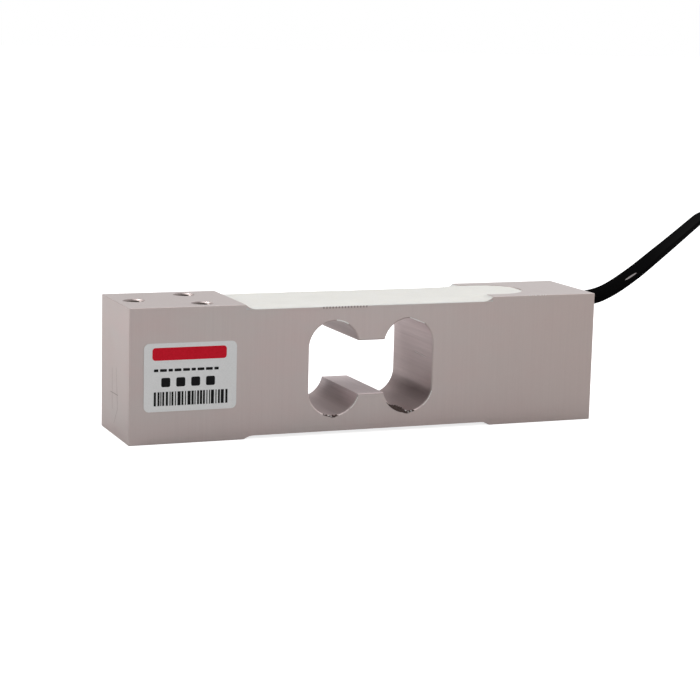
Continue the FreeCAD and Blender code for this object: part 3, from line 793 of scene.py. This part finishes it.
# Cast sealant in the upper recess, which falls to the bar's edges and rises to the pads
skin = {
    "floor": bar["top"] - 1.5,
    "level": bar["top"] - 0.9,
    "rim": bar["top"] - 0.13,
    "halfLength": 39.83,
    "halfWidth": 14.97,
    "floorRise": 36.43,
    "floorRiseRadius": 5.0,
    "meniscusStart": 37.4,
    "meniscusReach": 2.35,
    "meniscusRadius": 4.0,
    "pocketCentre": 45.7,
    "pocketRadius": 10.28,
    "pocketGap": 0.02,
    "mouthStart": 24.0,
    "mouthLength": 16.0,
    "mouthHalfWidth": 11.5,
    "mouthFade": 3.0,
    "thin": 0.02,
    "swell": 0.22,
    "calmPast": 1.0,
    "calmFade": 5.0,
    "shoulder": 1.5,
    "buried": 0.08,
    "lip": 0.06,
    "lipDrop": 0.03,
    "lipFoot": 0.02,
    "footShare": 0.995,
    "columns": 121,
    "pocketColumns": 41,
    "across": 63,
}


def ripple(x, y):
    # Waves of less than a tenth of a millimetre: a sum of sines of x and y
    return (0.035 * np.sin(x / 3.3 + 1.1) * np.cos(y / 4.1 + 0.4)
            + 0.025 * np.sin(x / 1.9 - y / 2.6 + 2.0) + 0.03 * np.cos(x / 7.0 + y / 5.2))


def sealantHeight(x, y, edge):
    # metal + (high - metal) * (1 - exp(-edge / shoulder)), with edge the distance from the
    # side. Metal is the floor, which rises to each pad as a circle; high is the sealant's
    # level with its swell and ripple, raised by a meniscus and at the pocket's mouth
    far = np.abs(x)
    rise = np.clip(far - skin["floorRise"], 0, skin["halfLength"] - skin["floorRise"])
    radius = skin["floorRiseRadius"]
    metal = skin["floor"] + radius - np.sqrt(radius ** 2 - rise ** 2) + skin["thin"]
    metal = np.where(far > skin["halfLength"], skin["rim"], metal)
    past = np.clip(far - skin["meniscusStart"], 0, skin["meniscusReach"])
    meniscus = skin["meniscusRadius"] - np.sqrt(skin["meniscusRadius"] ** 2 - past ** 2)
    inMouth = ease((skin["mouthHalfWidth"] - np.abs(y)) / skin["mouthFade"])
    mouth = (skin["rim"] - skin["level"]) * inMouth
    mouth = mouth * ease((x - skin["mouthStart"]) / skin["mouthLength"])
    calm = ease((skin["halfLength"] + skin["calmPast"] - far) / skin["calmFade"])
    high = skin["level"] + np.maximum(meniscus, mouth) + skin["thin"]
    high = high + calm * (skin["swell"] + ripple(x, y))
    return metal + (high - metal) * (1 - np.exp(-edge / skin["shoulder"]))


def skinShell(columns, halfWidth, bottom):
    # Closed slab over strips of columns, y = half width * sin(share), whose sides overhang
    # a little at the foot
    across = np.sin(np.linspace(-1, 1, skin["across"]) * np.pi / 2)
    x = np.repeat(columns[:, None], len(across), axis=1)
    y = halfWidth[:, None] * across
    z = sealantHeight(x, y, halfWidth[:, None] - np.abs(y))
    overRecess = columns[:, None] < skin["halfLength"]
    foot = bottom + skin["buried"] * overRecess
    y[:, [0, -1]] += skin["lip"] * across[[0, -1]] * overRecess
    z[:, [0, -1]] = np.minimum(z[:, [1, -2]] - skin["lipDrop"], foot + skin["lipFoot"])
    top = np.stack([x, y, z], axis=-1)
    low = np.stack([x, skin["footShare"] * halfWidth[:, None] * across,
                    np.full_like(x, bottom)], axis=-1)
    loop = np.concatenate([top, low[:, ::-1]], axis=1)
    count, around = loop.shape[:2]
    quads = gridFaces(count, around, wrapColumns=True)
    side = np.arange(len(across) - 1)
    cap = np.stack([side, side + 1, around - 2 - side, around - 1 - side], axis=-1)
    last = cap[:, ::-1] + (count - 1) * around
    return loop.reshape(-1, 3), np.concatenate([quads, cap, last])


def castSealant():
    # Columns at x = half length * sin(share) over the recess, then a tongue into the
    # pocket whose half width is sqrt(radius ** 2 - past ** 2)
    share = np.sin(np.linspace(-1, 1, skin["columns"]) * np.pi / 2)
    wide = skin["halfLength"] * share
    tip = skin["pocketCentre"] + skin["pocketRadius"]
    reach = tip - skin["halfLength"] - skin["pocketGap"]
    tongue = tip - reach * np.cos(np.linspace(0, np.pi / 2, skin["pocketColumns"])[:-1])
    past = np.clip(tongue - skin["pocketCentre"], 0, None)
    tongueWidth = np.sqrt(skin["pocketRadius"] ** 2 - past ** 2)
    columns = np.concatenate([wide, tongue])
    halfWidth = np.concatenate([np.full(len(wide), skin["halfWidth"]), tongueWidth])
    return skinShell(columns, halfWidth, skin["floor"] - skin["buried"])


castTop = addPiece("castTop", [castSealant()], sealant)
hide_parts("top_sealant")
print("sealant cast")


# Burrs on the cut-out's rims, dark partly as the burrs' own colour and partly as painted shadow
# of the notches under them
cutOut = {
    "x": 12.0,
    "foot": 13.7,
    "head": 26.3,
    "rim": 8.38,
    "front": bar["front"] - 0.04,
    "back": bar["front"] + 0.4,
    "least": 0.02,
    "steps": 48,
    "cut": 7.92925,
    "cutHeading": 69,
}
burrShadow = {
    "depth": 1.4,
    "start": -142,
    "opening": 24,
    "stop": -70,
    "closing": 6,
    "narrowFrom": -106,
    "narrowOver": 16,
    "narrowBy": 0.7,
    "least": 0.15,
}


def rimRibbon(x, z, fromAngle, toAngle, inner):
    # Strip on a slot's round end, from its rim in to a radius that may vary with the angle:
    # points at centre + radius * (cos, sin), on the bar's face and a little behind it
    steps = cutOut["steps"]
    angle = np.radians(np.linspace(fromAngle, toAngle, steps))
    near = np.full(steps, cutOut["rim"])
    far = np.minimum(inner(angle), cutOut["rim"] - cutOut["least"])
    radius = np.stack([near, near, far, far], axis=1)
    front, back = cutOut["front"], cutOut["back"]
    depth = np.tile([front, back, back, front], (steps, 1))
    points = np.stack([x + radius * np.cos(angle)[:, None], depth,
                       z + radius * np.sin(angle)[:, None]], axis=-1)
    quads = gridFaces(steps, 4, wrapColumns=True)
    ends = np.array([[0, 1, 2, 3], [3, 2, 1, 0]]) + np.array([[0], [4 * steps - 4]])
    return points.reshape(-1, 3), np.concatenate([quads, ends])


def evenLip(depth):
    # Lip of one depth: rim - depth
    return lambda angle: cutOut["rim"] - depth + 0 * angle


def jagged(depth):
    # Ragged lip: rim - depth * (0.75 + 0.3 sin(47 angle) + 0.25 sin(83 angle + 1))
    return lambda angle: (cutOut["rim"] - depth * (0.75 + 0.3 * np.sin(47 * angle)
                                                   + 0.25 * np.sin(83 * angle + 1)))


def wedge(angle):
    # Ragged lip that widens along the round end, narrows and stops short; dark partly as a burr
    # and partly as painted shadow of the notch:
    # rim - least - depth * opening * closing * narrow * (0.9 + 0.14 sin(61 angle))
    degrees = np.degrees(angle)
    depth = burrShadow["depth"] * ease((degrees - burrShadow["start"]) / burrShadow["opening"])
    depth = depth * ease((burrShadow["stop"] - degrees) / burrShadow["closing"])
    narrow = 1 - burrShadow["narrowBy"] * ease((degrees - burrShadow["narrowFrom"]) / burrShadow["narrowOver"])
    return cutOut["rim"] - burrShadow["least"] - depth * narrow * (0.9 + 0.14 * np.sin(61 * angle))


def straightLip(angle):
    # Sliver of metal left by a straight cut: cut / cos(angle - heading)
    return cutOut["cut"] / np.cos(angle - math.radians(cutOut["cutHeading"]))


# Dark metal for the burrs, which also paints the notches' shadow
burrAndShadowMetal = mottled("burrAndShadowMetal", (0.045, 0.027, 0.024), (0.11, 0.078, 0.072), 0.5, 0.4,
                    specular=0.2)
burrsAndShadow = [
    rimRibbon(-cutOut["x"], cutOut["foot"], -112, -78, jagged(0.45)),
    rimRibbon(cutOut["x"], cutOut["foot"], -144, -72, wedge),
]
addPiece("rimBurrsAndShadow", burrsAndShadow, burrAndShadowMetal, smooth=False)
sliver = rimRibbon(cutOut["x"], cutOut["head"], 46, 91, straightLip)
addPiece("rimSliver", [sliver], aluminium, smooth=False)

# Small marks of work and wear, with painted shade in small notches along the sealant's edge and
# painted highlights on the slots' rims.
# A scratch is two ends and a width, an edge nick a place and a length, and a chip the place of
# its upper left end
wear = {
    "tickFirst": -15.7,
    "tickPitch": 0.98,
    "tickCount": 15,
    "tickFoot": 38.02,
    "tickHead": 38.62,
    "tickWidth": 0.36,
    "endScratches": ((4.65, 12.48, -3.41, 12.68, 0.28), (2.96, 19.84, 2.74, 7.5, 0.12),
                     (-1.46, 20.61, -3.07, 8.63, 0.12), (-3.07, 8.63, 0.71, 3.76, 0.12)),
    "edgeNicks": ((52.0, 1.0), (54.2, 0.6), (55.7, 0.5), (56.8, 0.4), (57.6, 0.4)),
    "edgeWidth": 0.12,
    "chips": ((11.4, 6.1), (12.3, 5.6), (13.2, 5.9), (-13.6, 5.9), (-12.9, 5.6)),
    "chipReach": (0.45, -0.2),
    "chipWidth": 0.22,
    "wallScratch": ((20, -2.1, 21.7), (20, -10.65, 21.2), 0.14),
    "faceScratch": (12.2, 34.52, 17.1, 32.64, 0.24),
}


def stroke(start, end, width, normal, lift=0.02):
    # Thin bar from start to end on the face that has this normal: four corners at
    # +-side * width / 2, sunk a little and lifted a little, at either end
    start, end, normal = np.array(start), np.array(end), np.array(normal)
    heading = (end - start) / np.linalg.norm(end - start)
    side = np.cross(heading, normal) * width / 2
    sunk = 0.02
    ring = np.array([side - sunk * normal, -side - sunk * normal, -side + lift * normal,
                     side + lift * normal])
    points = np.concatenate([start + ring, end + ring])
    quads = np.concatenate([gridFaces(2, 4, wrapColumns=True), [[0, 1, 2, 3], [7, 6, 5, 4]]])
    return points, quads


def onFront(x0, z0, x1, z1, width, ahead, lift=0.02):
    # Stroke a little ahead of the bar's front face
    y = bar["front"] - ahead
    return stroke((x0, y, z0), (x1, y, z1), width, (0, -1, 0), lift)


def onEnd(y0, z0, y1, z1, width):
    # Stroke on the bar's free end
    return stroke((bar["left"], y0, z0), (bar["left"], y1, z1), width, (-1, 0, 0))


# Dull metal for the end scratches, and for painted shade in the notches along the sealant's edge
scratchAndNotchShadeMetal = mottled("scratchAndNotchShadeMetal", (0.33, 0.27, 0.26), (0.40, 0.33, 0.32), 0.45, 0.3, 0.6)
# Pale metal for fresh nicks and scratches, and for painted highlights on the slots' rims
nickAndHighlightMetal = mottled("nickAndHighlightMetal", (0.90, 0.88, 0.86), (0.97, 0.95, 0.93), 0.3, 0.3)
# Dark ticks along the sealant's lower edge: painted shade in small notches
tickPlaces = wear["tickFirst"] + wear["tickPitch"] * np.arange(wear["tickCount"])
shadedTicks = [onFront(x, wear["tickFoot"], x, wear["tickHead"], wear["tickWidth"], 0.03, 0.05)
         for x in tickPlaces]
scratches = [onEnd(*ends) for ends in wear["endScratches"]]
edge = bar["top"] - 0.05
nicksAndHighlights = [onFront(x, edge, x + length, edge, wear["edgeWidth"], 0, 0.04)
         for x, length in wear["edgeNicks"]]
across, down = wear["chipReach"]
nicksAndHighlights += [onFront(x, z, x + across, z + down, wear["chipWidth"], 0.08)
          for x, z in wear["chips"]]
nicksAndHighlights.append(stroke(*wear["wallScratch"], (-1, 0, 0)))
nicksAndHighlights.append(onFront(*wear["faceScratch"], 0.05))
# Painted highlights on the chamfers of the slots' rims
nicksAndHighlights.append(rimRibbon(cutOut["x"], cutOut["foot"], -50, -14, evenLip(0.16)))
nicksAndHighlights.append(rimRibbon(-cutOut["x"], cutOut["foot"], -48, -20, evenLip(0.16)))
nicksAndHighlights.append(rimRibbon(-cutOut["x"], cutOut["head"], 58, 86, evenLip(0.36)))
addPiece("notchShadeTicks", shadedTicks, scratchAndNotchShadeMetal, smooth=False)
addPiece("endScratches", scratches, scratchAndNotchShadeMetal, smooth=False)
addPiece("nicksAndRimHighlights", nicksAndHighlights, nickAndHighlightMetal, smooth=False)
print("marks made")


# Print on the label: plain shapes in the places of its printed lines. A place is left,
# right, top and bottom, from the label's top left corner
labelLow, labelHigh = cornersOf("label")
labelPrint = {
    "left": labelLow[0],
    "top": labelHigh[2],
    "face": labelLow[1],
    "ink": 0.02,
    "sunk": 0.005,
    "band": {"place": (2.5, 24.9, 1.3, 5.0), "corner": 0.9},
    "dashes": {"place": (3.0, 22.5, 7.5, 8.3), "corner": 0.2, "count": 9, "length": 1.2,
               "longer": 0.7, "gap": 0.45},
    "squares": {"place": (5.2, 21.4, 10.1, 12.8), "corner": 0.5, "count": 4},
    "bars": {"place": (3.0, 25.3, 14.2, 18.3), "corner": 0.02, "count": 24, "width": 0.36,
             "wider": 0.3, "widest": 0.4, "gap": 0.3, "moreGap": 0.22},
}


def roundedPrism(left, right, top, bottom, corner, steps=6):
    # Thin plate on the label: two rings of quarter arcs, centre + corner * (cos, sin),
    # joined by a wall and closed by strips from side to side
    quarter = np.linspace(0, np.pi / 2, steps)
    turn = np.concatenate([quarter + i * np.pi / 2 for i in range(4)])
    inX = np.repeat([right - corner, left + corner, left + corner, right - corner], steps)
    inZ = np.repeat([top + corner, top + corner, bottom - corner, bottom - corner], steps)
    x = labelPrint["left"] + inX + corner * np.cos(turn)
    z = labelPrint["top"] - inZ + corner * np.sin(turn)
    back = labelPrint["face"] + labelPrint["sunk"]
    front = labelPrint["face"] - labelPrint["ink"]
    points = np.concatenate([np.stack([x, np.full_like(x, y), z], axis=-1)
                             for y in (back, front)])
    count = len(x)
    first = np.arange(count // 2 - 1)
    cap = np.stack([first, first + 1, count - 2 - first, count - 1 - first], axis=-1)
    quads = gridFaces(2, count, wrapColumns=True)
    return points, np.concatenate([quads, cap, cap[:, ::-1] + count])


def fitRow(look, lengths, gaps, steps):
    # Plates of these lengths and gaps in a row, scaled together to fill its place
    left, right, top, bottom = look["place"]
    start = np.cumsum(lengths + gaps) - lengths - gaps
    scale = (right - left) / (start[-1] + lengths[-1])
    return [roundedPrism(left + scale * begin, left + scale * (begin + length), top, bottom,
                         look["corner"], steps) for begin, length in zip(start, lengths)]


def barField():
    # Upright bars whose widths and gaps follow sines, so that they spell nothing
    look = labelPrint["bars"]
    index = np.arange(look["count"])
    widths = look["width"] + look["wider"] * (np.sin(index * 2.4) > 0.1)
    widths = widths + look["widest"] * (np.sin(index * 1.7 + 1) > 0.5)
    gaps = look["gap"] + look["moreGap"] * (np.cos(index * 1.93) > 0)
    return fitRow(look, widths, gaps, 2)


def dashRow():
    # Dashes of two lengths that follow a sine
    look = labelPrint["dashes"]
    longer = np.sin(np.arange(look["count"]) * 2.1) > 0
    return fitRow(look, look["length"] + look["longer"] * longer, look["gap"], 4)


def squareRow():
    # Equal squares, evenly spaced
    look = labelPrint["squares"]
    left, right, top, bottom = look["place"]
    side = bottom - top
    return [roundedPrism(x, x + side, top, bottom, look["corner"])
            for x in np.linspace(left, right - side, look["count"])]


redInk = mottled("redInk", (0.60, 0.006, 0.02), (0.68, 0.010, 0.03), 0.5, 0.5, specular=0.1)
blackInk = mottled("blackInk", (0.006, 0.006, 0.007), (0.011, 0.011, 0.012), 0.5, 0.5,
                   specular=0.1)
band = labelPrint["band"]
addPiece("labelBand", [roundedPrism(*band["place"], band["corner"])], redInk,
         smooth=False)
addPiece("labelMarks", barField() + dashRow() + squareRow(), blackInk,
         smooth=False)
print("label printed")
